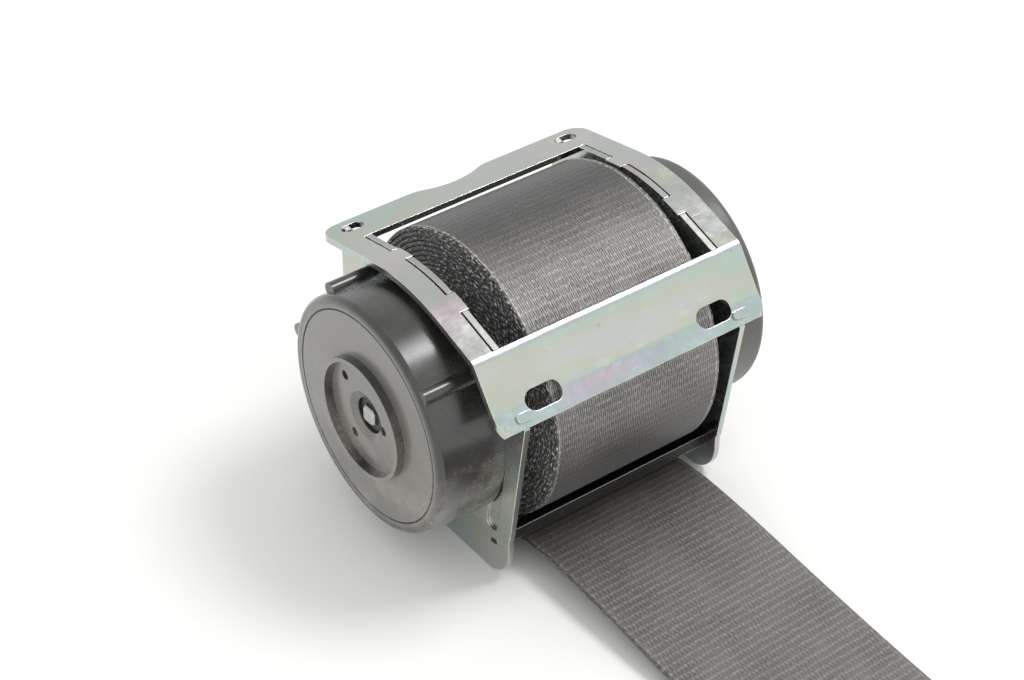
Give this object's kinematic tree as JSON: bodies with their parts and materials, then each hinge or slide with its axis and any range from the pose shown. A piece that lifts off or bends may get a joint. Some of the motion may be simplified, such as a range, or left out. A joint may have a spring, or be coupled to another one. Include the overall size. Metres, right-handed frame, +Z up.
{
  "type": "seat belt retractor with webbing",
  "caption": "Seat belt retractor: plated steel frame round a full roll of webbing, with a spring side, a lock side and a free strap that ends in an anchor plate.",
  "frame": {"origin": "on the surface that it stands on, under the middle of the retractor without its free webbing", "axes": "+X along the spool axis, from the spring side to the lock side; -Y the side where the webbing comes out; +Z up"},
  "size_m": [0.097, 0.3863, 0.074],
  "materials": {
    "zinc_plated_steel": "zinc plated, yellow and iridescent passivation, satin",
    "black_plastic": "moulded, semi-matt with a glossy edge",
    "grey_plastic": "moulded, plain and matt",
    "white_plastic": "natural acetal",
    "spool_plastic": "moulded, matt",
    "webbing": "woven polyester, dark grey",
    "plain_steel": "turned, dull",
    "spring_steel": "blued strip",
    "polished_steel": "polished",
    "die_cast_zinc": "as cast"
  },
  "bodies": {
    "frame": {"top_plate": "zinc_plated_steel", "left_side_plate": "zinc_plated_steel", "right_side_plate": "zinc_plated_steel", "front_tie_bar": "zinc_plated_steel", "rear_tie_bar": "zinc_plated_steel", "base_rivets": "zinc_plated_steel", "left_bush": "white_plastic", "spring_base": "black_plastic", "spring_cover": "black_plastic", "mainspring": "spring_steel", "lock_base": "white_plastic", "lock_cover": "grey_plastic", "sensor_cup": "white_plastic", "sensor_lever_pin": "plain_steel", "webbing_tail": "webbing", "webbing_end_loop": "webbing", "end_anchor_plate": "zinc_plated_steel"},
    "spool": {"spool_core": "spool_plastic", "spool_shaft": "plain_steel", "webbing_pin": "plain_steel", "webbing_roll": "webbing", "spring_arbor": "white_plastic", "spool_head": "die_cast_zinc", "pawl_pin": "plain_steel"},
    "pawl": {"lock_pawl": "plain_steel"},
    "disc": {"control_disc": "white_plastic", "inertia_ring": "die_cast_zinc"},
    "lever": {"sensor_lever": "white_plastic"},
    "ball": {"sensor_ball": "polished_steel"}
  },
  "joints": [
    {"name": "spool_spin", "type": "hinge", "parent": "frame", "child": "spool", "pos_m": [0.00255, 0.00114, 0.0379], "axis": [1, 0, 0], "continuous": true},
    {"name": "disc_lag", "type": "hinge", "parent": "spool", "child": "disc", "pos_m": [0.03905, 0.00114, 0.0379], "axis": [1, 0, 0], "range_deg": [0, 15], "stiffness_Nm_per_rad": 0.004, "springref_deg": -11.46},
    {"name": "pawl_swing", "type": "hinge", "parent": "spool", "child": "pawl", "pos_m": [0.03445, -0.00845, 0.04139], "axis": [1, 0, 0], "range_deg": [0, 11]},
    {"name": "ball_roll", "type": "slide", "parent": "frame", "child": "ball", "axis": [0, 0.8192, 0.5736], "range_m": [0, 0.002]},
    {"name": "lever_lift", "type": "hinge", "parent": "frame", "child": "lever", "pos_m": [0.04095, -0.00786, 0.01935], "axis": [1, 0, 0], "range_deg": [0, 7]}
  ],
  "couplings": [
    {"joint": "pawl_swing", "follows": "disc_lag", "ratio": 0.7333},
    {"joint": "lever_lift", "follows": "ball_roll", "rad_per_m": 61}
  ]
}
